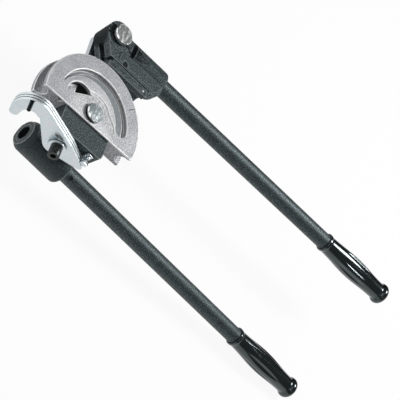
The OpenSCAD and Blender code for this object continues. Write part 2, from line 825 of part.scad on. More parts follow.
module shoe_screw() {
    color(zinc) shoe_screw_place() {
        translate([0, 0, -shoe_screw_l]) cylinder(d = shoe_screw_shank - 2 * seat, h = shoe_screw_l + eps);
        cylinder(d1 = shoe_screw_d, d2 = shoe_screw_d - shoe_screw_head, h = shoe_screw_head);
    }
}

former();
fixed_arm();
fixed_handle_tube();
fixed_grip();
fixed_handle_pin();
former_dowels();
centre_bolt();
centre_bush();
centre_washer();
centre_nut();
hook_screw();
hook_washer();
hook_spacer();
hook_stop();
hook_stop_screw();
hook_front_plate();
hook_middle_plate();
hook_back_plate();
hook_bush();
hook_finger_pin();
link_plate();
pivot_bolt();
pivot_nut();
moving_head();
pivot_bush();
moving_handle_tube();
moving_grip();
moving_handle_pin();
shoe();
shoe_pin();
shoe_screw();
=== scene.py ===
import json
from math import asin, cos, pi, radians, sin, sqrt

import bpy
from mathutils import Matrix, Vector

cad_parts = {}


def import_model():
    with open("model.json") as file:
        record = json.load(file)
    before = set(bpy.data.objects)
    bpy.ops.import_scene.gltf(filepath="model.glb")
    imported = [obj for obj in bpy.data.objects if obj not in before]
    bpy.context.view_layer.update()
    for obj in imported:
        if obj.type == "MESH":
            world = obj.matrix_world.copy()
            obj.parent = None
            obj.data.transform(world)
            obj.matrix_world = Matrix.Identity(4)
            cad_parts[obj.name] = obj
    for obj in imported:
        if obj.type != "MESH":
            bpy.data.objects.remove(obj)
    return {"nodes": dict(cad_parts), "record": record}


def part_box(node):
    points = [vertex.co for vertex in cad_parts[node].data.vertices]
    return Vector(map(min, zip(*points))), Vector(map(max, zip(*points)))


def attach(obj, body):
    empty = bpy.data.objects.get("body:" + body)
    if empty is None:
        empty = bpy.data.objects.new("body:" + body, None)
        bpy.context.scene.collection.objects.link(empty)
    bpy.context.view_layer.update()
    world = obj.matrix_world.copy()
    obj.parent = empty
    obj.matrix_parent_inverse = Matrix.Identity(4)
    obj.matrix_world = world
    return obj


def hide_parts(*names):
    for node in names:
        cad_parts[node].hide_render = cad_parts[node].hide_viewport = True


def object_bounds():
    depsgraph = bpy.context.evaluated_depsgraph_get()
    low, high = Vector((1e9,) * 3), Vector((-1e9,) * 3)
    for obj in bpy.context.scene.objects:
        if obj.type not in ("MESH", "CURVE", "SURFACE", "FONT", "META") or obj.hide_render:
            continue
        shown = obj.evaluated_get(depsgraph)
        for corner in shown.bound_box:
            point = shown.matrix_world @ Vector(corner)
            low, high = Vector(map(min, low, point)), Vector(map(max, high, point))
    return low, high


# Looks of a two-handled lever tube bender, in metres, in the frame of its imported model.
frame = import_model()
cad_low, cad_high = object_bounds()
nodes = frame["nodes"]
record = frame["record"]
bodies = record["behaviour"]["bodies"]
body_of = {node: body for body, members in bodies.items() for node in members}
slot_of = {part["node"]: part["material_slot"] for part in record["subparts"]}
mm = 0.001

# Axes of the former and of the two handles, each as a point and a direction
handle_bore = next(mount for mount in record["mounts"] if mount["name"] == "handle_bore")
tube_bore_r = handle_bore["dims"]["r_mm"] * mm
tube_low, tube_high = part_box("moving_handle_tube")
tube_middle = (tube_low + tube_high) / 2
FORMER_AXIS = (Vector((0, 0, 0)), Vector((0, 0, 1)))
FIXED_AXIS = (Vector(handle_bore["pos_m"]), -Vector(handle_bore["axis"]).normalized())
MOVING_AXIS = (tube_middle, Vector((1, 0, 0)))

# Photograph: a square frame of this many pixels, with the focal length in pixels
FRAME_PX = 400
FOCAL_PX = 1581
SENSOR = 36.0
CAMERA_AT = Vector((-0.8715, -1.2467, 1.4266))
CAMERA_RIGHT = Vector((0.6430, 0.2555, 0.7220))
CAMERA_UP = Vector((-0.5828, 0.7748, 0.2449))

# Stage: the floor and how much of the shadow shows on it, the background, and a card beyond the picture
FLOOR_SIZE = 14.0
FLOOR_GAP = 0.4 * mm
FLOOR_GREY = (0.80, 0.80, 0.80)
SHADOW_SHARE = 0.08
WHITE = (1, 1, 1)
HORIZON_TOP = 0.25
CEILING_LIGHT = 0.16
CARD_X = (-1.5, 3.5)
CARD_Y = 1.6
CARD_Z = (-0.12, 0.9)
CARD_BLACK = (0.01, 0.012, 0.012)

# Lamps that face the object's middle: place, width and height, and power
LAMPS = {
    "key": ((1.18, 0.60, 1.45), (0.50, 0.80), 28),
    "left": ((-1.60, 0.40, 0.60), (1.8, 1.6), 10),
    "side": ((0.80, -1.20, 1.15), (0.5, 0.5), 0.8),
    "front": ((-0.75, -0.80, 1.25), (1.0, 0.4), 3),
    "top": ((-0.15, -0.35, 1.70), (0.9, 0.9), 2),
}

# Castings: the size of their remeshed faces and how many times these are smoothed
CASTINGS = {
    "former": (0.70 * mm, 3),
    "fixed_arm": (0.80 * mm, 4),
    "moving_head": (0.55 * mm, 1),
    "shoe": (0.60 * mm, 2),
}
SMOOTH_FACTOR = 0.5

# Machined pieces and plates: the width of their broken edges, and what counts as sharp, joined and flat
MACHINED_EDGE = 0.25 * mm
PLATE_EDGE = 0.9 * mm
EDGE_SEGMENTS = 2
SHARP_ANGLE = radians(40)
WELD_REACH = 0.005 * mm
FLAT_WEIGHT = 100
HOOK_PLATES = ("hook_front_plate", "hook_middle_plate", "hook_back_plate")

# Grips: lengths along the grip, radii, and the ends of its round stretches in degrees
COLLAR_L = 5.0 * mm
COLLAR_R = 15.1 * mm
COLLAR_EDGE = 1.2 * mm
COLLAR_BACK = 60
NECK_R = 14.1 * mm
SWELL_R = 17.1 * mm
BULB_L = 15.0 * mm
BULB_FRONT = -54
GRIP_BORE_R = 12.72 * mm
GRIP_END = 5.0 * mm

# Flutes of the grips, and how far they are turned about each handle
FLUTES = 8
FLUTE_R = 6.0 * mm
FLUTE_DEPTH = 2.0 * mm
FLUTE_BLEND = 0.5 * mm
GRIPS = {"fixed_grip": (FIXED_AXIS, radians(12)), "moving_grip": (MOVING_AXIS, radians(36))}

# Fineness of the grips' meshes
GRIP_SIDES = 192
COLLAR_STEPS = 4
SWELL_STEPS = 72
BULB_STEPS = 14

# Sockets of the two handles, and the scoop at the start of the moving head's socket
FIXED_SOCKET_R = 23.2 * mm
HEAD_SOCKET_R = 20.0 * mm
SCOOP_START = 28.5 * mm
SCOOP_L = 24.0 * mm
SCOOP_END = SCOOP_START + SCOOP_L
SCOOP_DEPTH = 6.0 * mm
SCOOP_R = 9.0 * mm
SCOOP_SHIFT = -4.0 * mm

# Masks on the sockets and in the tubes. A pair holds the value where a mask is 0 and the one where it is 1.
SOCKET_EDGE = 0.5 * mm
SOCKET_FADE = 0.3 * mm
# Painted shade in the crease beside the moving head's socket
CREASE_FROM = (HEAD_SOCKET_R + 0.2 * mm, HEAD_SOCKET_R + 0.5 * mm)
CREASE_TO = (HEAD_SOCKET_R + 2.0 * mm, HEAD_SOCKET_R + 1.6 * mm)
# Stretch of the moving head's socket where edges get no painted highlight
NO_HIGHLIGHT_FROM = (SCOOP_START - 8.0 * mm, SCOOP_START - 6.0 * mm)
NO_HIGHLIGHT_TO = (SCOOP_END + 6.0 * mm, SCOOP_END)
# Radius inside which the tubes' bores get painted shade
TUBE_INSIDE = (tube_bore_r + 0.3 * mm, tube_bore_r - 0.1 * mm)

# Masks on the former: its face, the recess and the window in it, and the mark near its rim
FACE_Z = 16.0 * mm
RECESS_R = 61.1 * mm
RECESS_FADE = 1.0 * mm
# Painted shade on the recess floor: depths where it begins and where it is full, and its share
RECESS_FROM = (2.4 * mm, 3.2 * mm)
RECESS_TO = (9.0 * mm, 8.0 * mm)
RECESS_SHADE_SHARE = 0.75
PLATEAU_R = 30.0 * mm
PLATEAU_FADE = 20.0 * mm
POLISH_SHARE = 0.6
WINDOW_AXIS = (Vector((-27.0 * mm, 5.0 * mm, 0.0)), Vector((0, 0, 1)))
WINDOW_R = 24.0 * mm
WINDOW_FADE = 0.8 * mm
# Painted shade on the window's walls: where it fades out across X, and the depths under the face where it
# begins and is full
WINDOW_SHADE_X = (-10.0 * mm, -17.0 * mm)
WINDOW_SHADE_DEPTH = (4.0 * mm, 6.0 * mm)
MARK_TURN = radians(44)
MARK_AXIS = (Vector((0, 0, FACE_Z)), Vector((cos(MARK_TURN), sin(MARK_TURN), 0)))
MARK_HALF = 0.35 * mm
MARK_FADE = 0.3 * mm
MARK_FROM = (69.9 * mm, 70.4 * mm)

# Masks by direction, where 1 is straight along an axis, and by pointiness, where 0.5 is flat
LEVEL = (0.5, 0.8)
STEEP = (0.7, 0.4)
CUT_SIDE = (0.98, 0.85)
BOLT_FLAT = (0.90, 0.97)
BOLT_TOP = (0.35, 0.60)
# Outward edges get a painted highlight, on castings and on paint
OUTWARD_EDGE = (0.507, 0.535)
# Inward corners of castings get a painted highlight
CAST_FILLETS = (0.494, 0.465)
# Inward corners of painted castings get painted shade
PAINT_CORNERS = (0.496, 0.465)

# Values between which a noise mostly stays, for roughness that follows it
NOISE_SPAN = (0.3, 0.7)

# Cast aluminium: sizes of its texture, tones, and roughness from low grain to high
CAST_GRAIN = 2.0 * mm
CAST_GRAIN_RELIEF = 0.25 * mm
CAST_LUMP = 6.0 * mm
CAST_LUMP_RELIEF = 0.3 * mm
CAST_CLOUD = 22.0 * mm
CAST_TONES = (0.32, (0.32, 0.33, 0.345)), (0.68, (0.41, 0.42, 0.435))
CAST_SPECKLE = (0.32, (0.40, 0.40, 0.40)), (0.50, (0.96, 0.96, 0.96)), (0.70, (1.6, 1.6, 1.6))
CAST_POLISH = (0.60, 0.61, 0.615)
# Painted shade on the floor of the former's recess
RECESS_SHADE = (0.12, 0.14, 0.15)
# Black painted shade on the walls of the former's window
WINDOW_SHADE = (0.008, 0.011, 0.011)
CAST_MARK = (0.05, 0.055, 0.06)
# Painted highlight in the castings' inward corners
CAST_FILLET_HIGHLIGHT = (0.60, 0.60, 0.61)
# Painted highlight on the castings' outward edges
CAST_EDGE_HIGHLIGHT = (0.92, 0.92, 0.92)
CAST_ROUGH = (0.60, 0.46)

# Textured paint on castings and on tubes
CASTING_COAT = {"lump": 1.7 * mm, "relief": 1.2 * mm, "contrast": 0.12, "shine": 0.58}
TUBE_COAT = {"lump": 1.8 * mm, "relief": 0.3 * mm, "contrast": 0.24, "shine": 0.68}
PAINT_LOW = (0.002, 0.004, 0.005)
PAINT_TONE = (0.006, 0.011, 0.012)
PAINT_TOP = (0.12, 0.145, 0.15)
PAINT_TINT = (0.80, 0.97, 1.0)
PAINT_ROUGH = (0.58, 0.44)
# Painted highlight on the outward edges of painted castings
PAINT_EDGE_HIGHLIGHT = (0.22, 0.245, 0.25)
SMOOTH_SHARE = 0.8
HEAD_SHARE = 0.7
# Black painted shade in hollows, in the socket's crease and in its scoop
HOLLOW_SHADE = (0.001, 0.001, 0.001)
HOLLOW_ROUGH = 0.9
# Black painted shade in the tubes' bores
BORE_SHADE = (0.002, 0.002, 0.002)

# Moulded grips
GRIP_CLOUD = 12.0 * mm
GRIP_WEAR = 2.5 * mm
GRIP_TONES = (0.3, (0.0015, 0.003, 0.003)), (0.7, (0.003, 0.0055, 0.0055))
GRIP_SHINE = 0.85
GRIP_TINT = (0.84, 0.98, 1.0)
GRIP_ROUGH = (0.10, 0.17)

# Zinc plate, darker on the link, and bright on the hook's cut edges between painted shade in the seams
ZINC_LINE = 1.2 * mm
ZINC_CLOUD = 16.0 * mm
ZINC_RELIEF = 0.1 * mm
ZINC_TONES = (0.30, (0.52, 0.60, 0.64)), (0.52, (0.61, 0.66, 0.685)), (0.70, (0.65, 0.64, 0.68))
LINE_TONE = (0.40, 0.45, 0.48)
LINE_SPAN = (0.42, 0.75)
LINE_SHARE = 0.18
ZINC_ROUGH = (0.22, 0.34)
LINK_DARKER = (0.74, 0.75, 0.76)
CUT_TONE = (0.74, 0.80, 0.82)
CUT_ROUGH = 0.5
SEAM = 0.8 * mm
# Painted shade in the seams between the hook's plates
SEAM_SHADE = (0.05, 0.065, 0.07)

# Bolt heads: depths under the top below which a painted contact shadow darkens their sides, how far it
# takes to fade, and their tones
CENTRE_DARK = 3.6 * mm
PIVOT_DARK = 6.4 * mm
BOLT_FADE = 1.6 * mm
BOLT_SCUFF = 4.0 * mm
BOLT_RELIEF = 0.06 * mm
CENTRE_FACE = (0.36, (0.12, 0.145, 0.155)), (0.52, (0.25, 0.285, 0.30)), (0.62, (0.70, 0.73, 0.74))
PIVOT_FACE = (0.36, (0.22, 0.235, 0.23)), (0.52, (0.37, 0.39, 0.385)), (0.62, (0.85, 0.87, 0.86))
# Painted contact shadow at the foot of the bolts' sides
BOLT_FOOT_SHADOW = (0.006, 0.007, 0.007)
BOLT_SIDE = (0.80, 0.83, 0.83)
BOLT_RIM = (0.95, 0.96, 0.96)
BOLT_ROUGH = (0.22, 0.38)

# Small steel pieces: grey zinc, black painted shade on a pin at the bottom of a hole, and black oxide that
# is worn or fresh
SPOT = 1.2 * mm
SPOT_RELIEF = 0.04 * mm
SPOT_TONES = (0.35, (0.14, 0.15, 0.15)), (0.65, (0.36, 0.37, 0.37))
SPOT_ROUGH = (0.55, 0.38)
# Black painted shade on the pin at the bottom of a hole
PIN_SHADE_SIZE = 1.5 * mm
PIN_SHADE_TONES = (0.35, (0.003, 0.003, 0.003)), (0.70, (0.012, 0.012, 0.012))
PIN_SHADE_SHINE = 0.2
PIN_SHADE_ROUGH = (0.75, 0.55)
OXIDE_WEAR = 2.0 * mm
OXIDE_RELIEF = 0.03 * mm
OLD_OXIDE = (0.35, (0.022, 0.025, 0.025)), (0.60, (0.058, 0.064, 0.064)), (0.78, (0.14, 0.15, 0.15))
NEW_OXIDE = (0.35, (0.006, 0.009, 0.010)), (0.60, (0.012, 0.017, 0.019)), (0.78, (0.06, 0.07, 0.075))
OXIDE_ROUGH = (0.40, 0.26)

# Sockets of a mix node that blends colours, by their number
MIX_SHARE = 0
MIX_FIRST = 6
MIX_SECOND = 7
MIX_RESULT = 2


def feed(tree, socket, value):
    """Links another node's output to a socket, or sets a plain value or colour on it."""
    if isinstance(value, bpy.types.NodeSocket):
        tree.links.new(value, socket)
    elif socket.type == "RGBA":
        socket.default_value = (*value, 1)
    else:
        socket.default_value = value


def add_node(tree, kind, inputs, **settings):
    made = tree.nodes.new(kind)
    for key, value in settings.items():
        setattr(made, key, value)
    for key, value in inputs.items():
        feed(tree, made.inputs[key], value)
    return made


def combine(tree, operation, *values):
    """Joins values with math nodes of one operation, from the first to the last."""
    total = values[0]
    for value in values[1:]:
        total = add_node(tree, "ShaderNodeMath", {0: total, 1: value}, operation=operation).outputs[0]
    return total


class Surface:
    """A material with one Principled shader, and short calls that add nodes to it."""

    def __init__(self, name, sockets):
        self.material = bpy.data.materials.new(name)
        self.material.use_nodes = True
        self.tree = self.material.node_tree
        self.shader = self.tree.nodes["Principled BSDF"]
        for socket, value in sockets.items():
            feed(self.tree, self.shader.inputs[socket], value)

    def node(self, kind, inputs, **settings):
        return add_node(self.tree, kind, inputs, **settings)

    def at(self):
        """The surface's point in the frame."""
        return self.node("ShaderNodeTexCoord", {}).outputs["Object"]

    def place(self, axis):
        """The surface's place along an axis of the frame."""
        return self.node("ShaderNodeSeparateXYZ", {"Vector": self.at()}).outputs[axis]

    def facing(self, axis):
        """How far the surface faces along an axis of the frame, either way: 1 is straight."""
        normal = self.node("ShaderNodeNewGeometry", {}).outputs["Normal"]
        return self.absolute(self.node("ShaderNodeSeparateXYZ", {"Vector": normal}).outputs[axis])

    def pointed(self, zero_at, one_at):
        """A mask by pointiness: on outward edges if its values rise, in inward corners if they fall."""
        return self.fade(self.node("ShaderNodeNewGeometry", {}).outputs["Pointiness"], zero_at, one_at)

    def noise(self, size, detail=3.0, rough=0.55, stretch=(1, 1, 1)):
        """Noise with lumps of about this size, longer along an axis whose stretch is below 1."""
        placed = self.node("ShaderNodeMapping", {"Vector": self.at(), "Scale": stretch}).outputs["Vector"]
        inputs = {"Vector": placed, "Scale": 1 / size, "Detail": detail, "Roughness": rough}
        return self.node("ShaderNodeTexNoise", inputs).outputs[0]

    def from_axis(self, axis):
        """Distance from a straight line, which is given as a point and a direction."""
        point, along = axis
        off = self.node("ShaderNodeVectorMath", {0: self.at(), 1: point}, operation="SUBTRACT")
        moment = self.node("ShaderNodeVectorMath", {0: off.outputs[0], 1: along}, operation="CROSS_PRODUCT")
        length = self.node("ShaderNodeVectorMath", {0: moment.outputs[0]}, operation="LENGTH")
        return length.outputs["Value"]

    def within(self, axis, reach, fade):
        """1 nearer than a reach to a straight line, fading to 0 outside it."""
        return self.fade(self.from_axis(axis), reach + fade, reach)

    def times(self, *values):
        return combine(self.tree, "MULTIPLY", *values)

    def largest(self, *values):
        return combine(self.tree, "MAXIMUM", *values)

    def absolute(self, value):
        return self.node("ShaderNodeMath", {0: value}, operation="ABSOLUTE").outputs[0]

    def between(self, value, from_low, from_high, to_low, to_high):
        """A value taken from one range to another, and held at the ends of that one."""
        inputs = {"Value": value, "From Min": from_low, "From Max": from_high}
        made = self.node("ShaderNodeMapRange", {**inputs, "To Min": to_low, "To Max": to_high})
        return made.outputs["Result"]

    def fade(self, value, zero_at, one_at):
        """A mask that goes from 0 to 1 as a value goes from one mark to another."""
        return self.between(value, zero_at, one_at, 0.0, 1.0)

    def uneven(self, noise, first, last):
        """A roughness that goes from the first value to the last as a noise rises."""
        return self.between(noise, *NOISE_SPAN, first, last)

    def ramp(self, value, *stops):
        """Colours at places along a value, blended between them."""
        made = self.node("ShaderNodeValToRGB", {"Fac": value})
        band = made.color_ramp.elements
        while len(band) < len(stops):
            band.new(0.5)
        for element, (place, colour) in zip(band, stops):
            element.position = place
            element.color = (*colour, 1)
        return made.outputs["Color"]

    def mix(self, share, first, second, blend="MIX"):
        """The first colour with a share of the second blended into it."""
        inputs = {MIX_SHARE: share, MIX_FIRST: first, MIX_SECOND: second}
        made = self.node("ShaderNodeMix", inputs, data_type="RGBA", blend_type=blend)
        return made.outputs[MIX_RESULT]

    def bump(self, height, depth, under=None):
        """Relief of this depth, on top of another relief if one is given."""
        inputs = {"Height": height, "Distance": depth, "Strength": 1.0}
        if under is not None:
            inputs["Normal"] = under
        return self.node("ShaderNodeBump", inputs).outputs["Normal"]

    def use(self, **sources):
        """Links outputs to the shader and gives the material."""
        names = {"colour": "Base Color", "roughness": "Roughness", "normal": "Normal"}
        for key, source in sources.items():
            self.tree.links.new(source, self.shader.inputs[names[key]])
        return self.material


def under_face(s, start, full):
    """0 down to one depth under the former's face, 1 from a second depth on."""
    return s.fade(s.place("Z"), FACE_Z - start, FACE_Z - full)


def recess_shade_mask(s):
    """Most on the floor of the crescent recess in the former's face, where shade is painted."""
    inside = s.within(FORMER_AXIS, RECESS_R, RECESS_FADE)
    level = s.between(s.facing("Z"), *LEVEL, 0.0, RECESS_SHADE_SHARE)
    return s.times(under_face(s, *RECESS_FROM), under_face(s, *RECESS_TO), inside, level)


def window_shade_mask(s):
    """1 on the walls of the window in the former, where black shade is painted, but not on its ledge or in
    its lit corner.
    """
    inside = s.within(WINDOW_AXIS, WINDOW_R, WINDOW_FADE)
    wall = s.fade(s.facing("Z"), *STEEP)
    shaded = s.fade(s.place("X"), *WINDOW_SHADE_X)
    return s.times(inside, wall, shaded, under_face(s, *WINDOW_SHADE_DEPTH))


def rim_mark(s):
    """1 on the short radial line near the former's rim."""
    line = s.within(MARK_AXIS, MARK_HALF, MARK_FADE)
    return s.times(line, s.fade(s.from_axis(FORMER_AXIS), *MARK_FROM))


def socket_crease(s):
    """1 in the corner between the moving head's socket and the flat beside it, where a line of shade is
    painted.
    """
    away = s.from_axis(MOVING_AXIS)
    return s.times(s.fade(away, *CREASE_FROM), s.fade(away, *CREASE_TO))


def socket_start(s):
    """1 on the first stretch of the moving head's socket, up to the end of its scoop, where no highlight is
    painted on edges.
    """
    along = s.place("X")
    near = s.within(MOVING_AXIS, HEAD_SOCKET_R + SOCKET_EDGE, SOCKET_FADE)
    return s.times(s.fade(along, *NO_HIGHLIGHT_FROM), s.fade(along, *NO_HIGHLIGHT_TO), near)


def socket_scoop(s):
    """1 beside the pivot at the start of the moving head's socket, fading along the socket, where shade is
    painted.
    """
    inside = s.within(MOVING_AXIS, HEAD_SOCKET_R - SOCKET_FADE, SOCKET_FADE)
    return s.times(s.fade(s.place("X"), SCOOP_END, SCOOP_START), inside)


def plate_seam(s, y):
    """1 close to a plane across the Y axis, where two plates meet and shade is painted."""
    gap = s.absolute(combine(s.tree, "SUBTRACT", s.place("Y"), y))
    return s.fade(gap, SEAM, SEAM / 2)


def cast_aluminium():
    """Sand-cast aluminium: cloudy and grainy, with painted highlights on its outward edges and inward
    corners, painted shade in its recess, and black painted shade on the window's walls.
    """
    s = Surface("cast_aluminium", {"Metallic": 0.5})
    grain = s.noise(CAST_GRAIN, detail=4.0, rough=0.7)
    clouds = s.ramp(s.noise(CAST_CLOUD, detail=4.0), *CAST_TONES)
    plateau = s.within(FORMER_AXIS, PLATEAU_R, PLATEAU_FADE)
    polished = s.mix(s.times(plateau, POLISH_SHARE), clouds, CAST_POLISH)
    speckled = s.mix(1.0, polished, s.ramp(grain, *CAST_SPECKLE), "MULTIPLY")
    # Painted shade on the recess floor
    recess_shaded = s.mix(recess_shade_mask(s), speckled, RECESS_SHADE)
    # Black painted shade on the window's walls
    shaded = s.mix(window_shade_mask(s), recess_shaded, WINDOW_SHADE)
    marked = s.mix(rim_mark(s), shaded, CAST_MARK)
    # Painted highlight in inward corners
    fillet_highlighted = s.mix(s.pointed(*CAST_FILLETS), marked, CAST_FILLET_HIGHLIGHT)
    # Painted highlight on outward edges
    edge_highlighted = s.mix(s.pointed(*OUTWARD_EDGE), fillet_highlighted, CAST_EDGE_HIGHLIGHT)
    relief = s.bump(grain, CAST_GRAIN_RELIEF, s.bump(s.noise(CAST_LUMP), CAST_LUMP_RELIEF))
    return s.use(colour=edge_highlighted, roughness=s.uneven(grain, *CAST_ROUGH), normal=relief)


def textured_paint(name, lump, relief, contrast, shine):
    """Dark paint with fine lumps that are a little lighter on top."""
    s = Surface(name, {"Metallic": 0.0, "Specular IOR Level": shine, "Specular Tint": PAINT_TINT})
    lumps = s.noise(lump, rough=0.6)
    tone = s.ramp(lumps, (0.5 - contrast, PAINT_LOW), (0.5, PAINT_TONE), (0.5 + contrast, PAINT_TOP))
    s.use(normal=s.bump(lumps, relief))
    return s, tone, s.uneven(lumps, *PAINT_ROUGH)


def casting_paint():
    """Textured paint on castings: smoother on sockets, with a painted highlight on edges, and black, dull
    painted shade in hollows.
    """
    s, coat, gloss = textured_paint("casting_paint", **CASTING_COAT)
    fixed_socket = s.within(FIXED_AXIS, FIXED_SOCKET_R, SOCKET_EDGE)
    head_socket = s.within(MOVING_AXIS, HEAD_SOCKET_R, SOCKET_EDGE)
    sockets = s.largest(fixed_socket, s.times(head_socket, HEAD_SHARE))
    smoother = s.mix(s.times(sockets, SMOOTH_SHARE), coat, PAINT_TONE)
    highlight_share = s.fade(socket_start(s), 1.0, 0.0)
    # Painted highlight on outward edges, except at the socket's start
    edge_highlighted = s.mix(s.times(s.pointed(*OUTWARD_EDGE), highlight_share), smoother, PAINT_EDGE_HIGHLIGHT)
    # Painted shade in inward corners, in the scoop and in the crease
    hollow = s.largest(s.pointed(*PAINT_CORNERS), socket_scoop(s), socket_crease(s))
    tone = s.mix(hollow, edge_highlighted, HOLLOW_SHADE)
    return s.use(colour=tone, roughness=s.largest(gloss, s.times(hollow, HOLLOW_ROUGH)))


def tube_paint(name, axis):
    """Textured paint on a handle tube, with black painted shade in its bore."""
    s, coat, gloss = textured_paint(name, **TUBE_COAT)
    inside = s.fade(s.from_axis(axis), *TUBE_INSIDE)
    # Painted shade in the bore
    return s.use(colour=s.mix(inside, coat, BORE_SHADE), roughness=gloss)


def black_grip():
    """Glossy moulded plastic with a faint unevenness in its gloss."""
    s = Surface("black_grip", {"Specular IOR Level": GRIP_SHINE, "Specular Tint": GRIP_TINT})
    tone = s.ramp(s.noise(GRIP_CLOUD), *GRIP_TONES)
    wear = s.noise(GRIP_WEAR, detail=4.0)
    return s.use(colour=tone, roughness=s.uneven(wear, *GRIP_ROUGH))


def zinc(name):
    """Zinc plate: faint clouds of colour over fine rolling lines."""
    s = Surface(name, {"Metallic": 1.0})
    lines = s.noise(ZINC_LINE, detail=2.0, rough=0.5, stretch=(1, 1, 0.1))
    clouds = s.noise(ZINC_CLOUD)
    worn = s.between(lines, *LINE_SPAN, 0.0, LINE_SHARE)
    s.use(normal=s.bump(clouds, ZINC_RELIEF))
    return s, s.mix(worn, s.ramp(clouds, *ZINC_TONES), LINE_TONE), s.uneven(clouds, *ZINC_ROUGH)


def zinc_plate():
    """Bright zinc plate with faint blue and pink clouds."""
    s, tone, gloss = zinc("zinc_plate")
    return s.use(colour=tone, roughness=gloss)


def link_zinc():
    """The same plate, darker all over."""
    s, tone, gloss = zinc("link_zinc")
    return s.use(colour=s.mix(1.0, tone, LINK_DARKER, "MULTIPLY"), roughness=gloss)


def sheared_plate():
    """Zinc-plated sheet of the hook, brighter on its cut edges, with painted shade in the seams between its
    plates.
    """
    s, tone, gloss = zinc("sheared_plate")
    cut = s.fade(s.facing("Y"), *CUT_SIDE)
    striped = s.mix(cut, tone, CUT_TONE)
    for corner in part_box("hook_middle_plate"):
        # Painted shade in the seams
        striped = s.mix(plate_seam(s, corner.y), striped, SEAM_SHADE)
    return s.use(colour=striped, roughness=s.largest(gloss, s.times(cut, CUT_ROUGH)))


def bolt_plate(node, dark, face_tones):
    """Turned head: a streaky face with a bright rim, and sides with a painted contact shadow at their foot.
    """
    s = Surface(node + "_plate", {"Metallic": 1.0})
    scuffs = s.noise(BOLT_SCUFF, detail=5.0, rough=0.7, stretch=(1, 0.3, 1))
    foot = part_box(node)[1].z - dark
    # Painted contact shadow at the foot of the sides
    sides = s.mix(s.fade(s.place("Z"), foot, foot + BOLT_FADE), BOLT_FOOT_SHADOW, BOLT_SIDE)
    flat = s.fade(s.facing("Z"), *BOLT_FLAT)
    turned = s.mix(flat, BOLT_RIM, s.ramp(scuffs, *face_tones))
    tone = s.mix(s.fade(s.facing("Z"), *BOLT_TOP), sides, turned)
    gloss = s.between(flat, 0.0, 1.0, *BOLT_ROUGH)
    return s.use(colour=tone, roughness=gloss, normal=s.bump(scuffs, BOLT_RELIEF))


def dull_zinc():
    """Zinc plate that has gone grey on small screws."""
    s = Surface("dull_zinc", {"Metallic": 1.0})
    spots = s.noise(SPOT, detail=4.0, rough=0.6)
    gloss = s.uneven(spots, *SPOT_ROUGH)
    return s.use(colour=s.ramp(spots, *SPOT_TONES), roughness=gloss, normal=s.bump(spots, SPOT_RELIEF))


def sunk_pin():
    """Pin end at the bottom of a hole, black with painted shade."""
    s = Surface("sunk_pin", {"Metallic": 0.0, "Specular IOR Level": PIN_SHADE_SHINE})
    blotches = s.noise(PIN_SHADE_SIZE)
    return s.use(colour=s.ramp(blotches, *PIN_SHADE_TONES), roughness=s.uneven(blotches, *PIN_SHADE_ROUGH))


def black_oxide(name, tones):
    """Dark oiled steel with worn patches."""
    s = Surface(name, {"Metallic": 0.9})
    wear = s.noise(OXIDE_WEAR, detail=4.0, rough=0.6)
    gloss = s.uneven(wear, *OXIDE_ROUGH)
    return s.use(colour=s.ramp(wear, *tones), roughness=gloss, normal=s.bump(wear, OXIDE_RELIEF))


# Finishes by material slot, and by node where a piece differs from the rest of its slot
by_slot = {
    "cast_aluminium": cast_aluminium(),
    "hammer_paint": casting_paint(),
    "black_grip": black_grip(),
    "zinc_plate": zinc_plate(),
    "black_oxide": black_oxide("black_oxide", OLD_OXIDE),
}
by_node = {
    "fixed_handle_tube": tube_paint("fixed_tube_paint", FIXED_AXIS),
    "moving_handle_tube": tube_paint("moving_tube_paint", MOVING_AXIS),
    "centre_bolt": bolt_plate("centre_bolt", CENTRE_DARK, CENTRE_FACE),
    "pivot_bolt": bolt_plate("pivot_bolt", PIVOT_DARK, PIVOT_FACE),
    "link_plate": link_zinc(),
    "hook_finger_pin": black_oxide("new_oxide", NEW_OXIDE),
    "shoe_pin": sunk_pin(),
    "shoe_screw": dull_zinc(),
    **dict.fromkeys(HOOK_PLATES, sheared_plate()),
}


def finish_of(node):
    return by_node.get(node, by_slot[slot_of[node]])


def dress(piece, material):
    piece.data.materials.clear()
    piece.data.materials.append(material)
    for face in piece.data.polygons:
        face.use_smooth = True


def add_object(name, data):
    made = bpy.data.objects.new(name, data)
    bpy.context.scene.collection.objects.link(made)
    return made


def stand_in(piece, node):
    """Puts a new piece in the place of a CAD node, with that node's finish and body, and hides the node."""
    dress(piece, finish_of(node))
    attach(piece, body_of[node])
    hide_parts(node)


def remesh(piece, voxel):
    made = piece.modifiers.new("remesh", "REMESH")
    made.mode = "VOXEL"
    made.voxel_size = voxel


def settle(piece):
    """Turns a piece's modifiers into its mesh."""
    ready = piece.evaluated_get(bpy.context.evaluated_depsgraph_get())
    mesh = bpy.data.meshes.new_from_object(ready)
    piece.modifiers.clear()
    piece.data = mesh


def scoop_out(mesh):
    """Lowers the top of the moving head's socket onto a slanted round hollow beside its pivot."""
    deepest = tube_middle.z + HEAD_SOCKET_R - SCOOP_DEPTH
    for vertex in mesh.vertices:
        along = vertex.co.x - SCOOP_START
        across = vertex.co.y - tube_middle.y - SCOOP_SHIFT
        if 0 <= along <= SCOOP_L and abs(across) < SCOOP_R:
            rise = SCOOP_DEPTH * along / SCOOP_L + SCOOP_R - sqrt(SCOOP_R ** 2 - across ** 2)
            vertex.co.z = min(vertex.co.z, deepest + rise)


def casting(node, voxel, rounding):
    """A copy of a CAD node with the soft edges of a casting."""
    piece = add_object(node + "_casting", nodes[node].data.copy())
    remesh(piece, voxel)
    if node == "moving_head":
        settle(piece)
        scoop_out(piece.data)
        remesh(piece, voxel)
    smooth = piece.modifiers.new("rounding", "SMOOTH")
    smooth.factor = SMOOTH_FACTOR
    smooth.iterations = rounding
    settle(piece)
    stand_in(piece, node)


